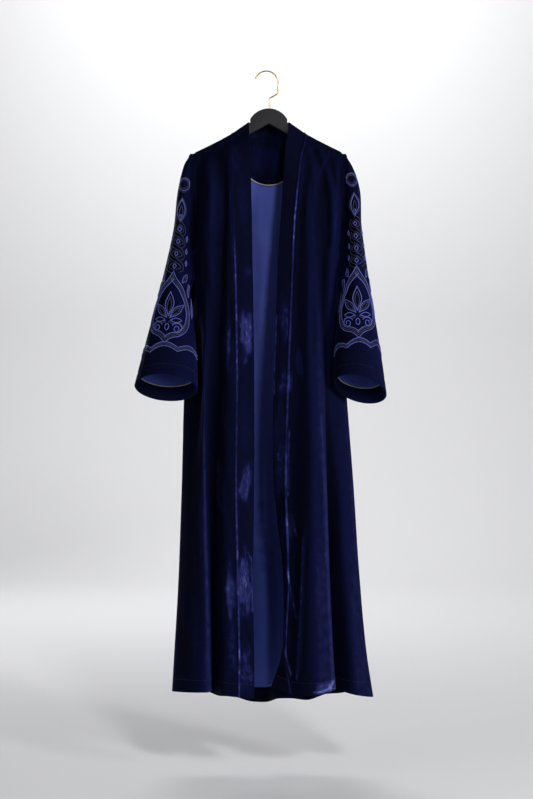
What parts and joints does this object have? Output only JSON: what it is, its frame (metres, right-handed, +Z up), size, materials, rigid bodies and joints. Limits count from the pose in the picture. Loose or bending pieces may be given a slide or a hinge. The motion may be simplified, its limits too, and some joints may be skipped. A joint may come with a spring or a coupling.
{
  "type": "abaya on a hanger",
  "caption": "Open-front full-length velvet abaya with bell sleeves, plain bands and satin lining, hung on a flat coat hanger with a wire hook.",
  "frame": {"origin": "saddle of the hanger's hook, where the wire rests on a rod", "axes": "+Z up, +X to the viewer's right, -Y towards the viewer: the garment's open front"},
  "size_m": [0.604, 0.2446, 1.5582],
  "materials": {
    "velvet": "navy velvet with a short pile",
    "band": "navy velvet, pile crushed in patches",
    "lining": "slate blue satin",
    "piping": "pale grey cord",
    "hanger": "dark grey, smooth, matt",
    "hook": "polished"
  },
  "bodies": {
    "root": {"front_left": "velvet", "front_right": "velvet", "back_panel": "velvet", "band_left": "band", "band_right": "band", "neck_band": "band", "neck_facing": "velvet", "neck_piping": "piping", "back_lining": "lining", "hem_facing": "velvet", "sleeve_left": "velvet", "sleeve_right": "velvet", "sleeve_lining_left": "lining", "sleeve_lining_right": "lining", "cuff_facing_left": "velvet", "cuff_facing_right": "velvet", "cuff_piping_left": "piping", "cuff_piping_right": "piping", "hanger": "hanger", "hanger_hook": "hook"}
  },
  "joints": []
}
